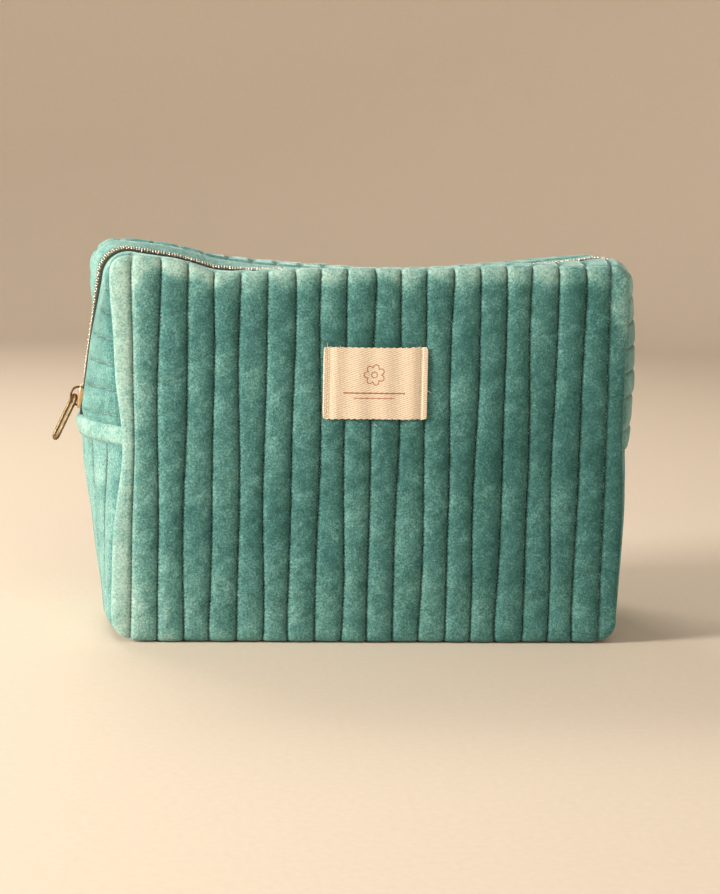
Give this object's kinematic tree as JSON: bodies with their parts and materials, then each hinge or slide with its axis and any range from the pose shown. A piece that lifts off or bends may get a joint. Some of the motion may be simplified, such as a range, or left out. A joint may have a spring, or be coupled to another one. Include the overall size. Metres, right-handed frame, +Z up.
{
  "type": "makeup bag",
  "caption": "Soft box-shaped quilted velvet makeup bag with a metal zipper over its top and down both sides, a slider with a long slotted pull, and a woven label.",
  "frame": {"origin": "centre of the face the bag stands on", "axes": "+Z up; +X along the bag's width, with the parked slider at -X; the front panel with the label faces -Y"},
  "size_m": [0.2946, 0.1134, 0.1846],
  "materials": {
    "velvet": "short-pile velvet, sea green",
    "wadding": "matt",
    "lining": "plain woven, matt",
    "seam_tape": "plain woven, matt",
    "zipper_tape": "plain woven, matt",
    "zipper_brass": "antique, satin",
    "slider_brass": "antique, polished",
    "label_twill": "twill",
    "label_thread": "thread",
    "quilting_thread": "thread"
  },
  "bodies": {
    "base": {"back_lining": "lining", "back_panel": "velvet", "back_quilting": "quilting_thread", "back_seam_binding": "seam_tape", "back_wadding_lower": "wadding", "front_lining": "lining", "front_panel": "velvet", "front_quilting": "quilting_thread", "front_seam_binding": "seam_tape", "front_wadding_lower": "wadding", "gusset": "velvet", "gusset_lining": "lining", "gusset_wadding": "wadding", "hem_left": "velvet", "hem_right": "velvet", "zipper_bottom_stop": "zipper_brass", "zipper_top_stops": "zipper_brass"},
    "front_mouth": {"front_wadding_upper": "wadding", "front_zip_strip": "velvet", "front_zip_strip_wadding": "wadding", "front_zip_strip_lining": "lining", "front_zipper_tape": "zipper_tape", "front_zipper_teeth": "zipper_brass", "label": "label_twill", "label_stitching": "label_thread"},
    "back_mouth": {"back_wadding_upper": "wadding", "back_zip_strip": "velvet", "back_zip_strip_wadding": "wadding", "back_zip_strip_lining": "lining", "back_zipper_tape": "zipper_tape", "back_zipper_teeth": "zipper_brass"},
    "slider": {"slider_body": "slider_brass", "slider_bail": "slider_brass"},
    "pull": {"pull_tab": "slider_brass"}
  },
  "joints": [
    {"name": "front_mouth_fold", "type": "hinge", "parent": "base", "child": "front_mouth", "pos_m": [0, 0, 0.102], "axis": [1, 0, 0], "range_deg": [0, 18], "deforming": ["front_panel", "front_lining", "front_quilting", "front_seam_binding", "front_zip_strip", "front_zip_strip_lining", "front_zipper_tape", "front_zipper_teeth", "label", "label_stitching"]},
    {"name": "back_mouth_fold", "type": "hinge", "parent": "base", "child": "back_mouth", "pos_m": [0, 0, 0.102], "axis": [-1, 0, 0], "range_deg": [0, 18], "deforming": ["back_panel", "back_lining", "back_quilting", "back_seam_binding", "back_zip_strip", "back_zip_strip_lining", "back_zipper_tape", "back_zipper_teeth"]},
    {"name": "slider_travel", "type": "slide", "parent": "front_mouth", "child": "slider", "axis": [0.1276, 0, 0.9918], "range_m": [0, 0.046]},
    {"name": "pull_swing", "type": "hinge", "parent": "slider", "child": "pull", "pos_m": [-0.14166, 0, 0.11136], "axis": [0, 1, 0], "range_deg": [-16, 145]}
  ]
}
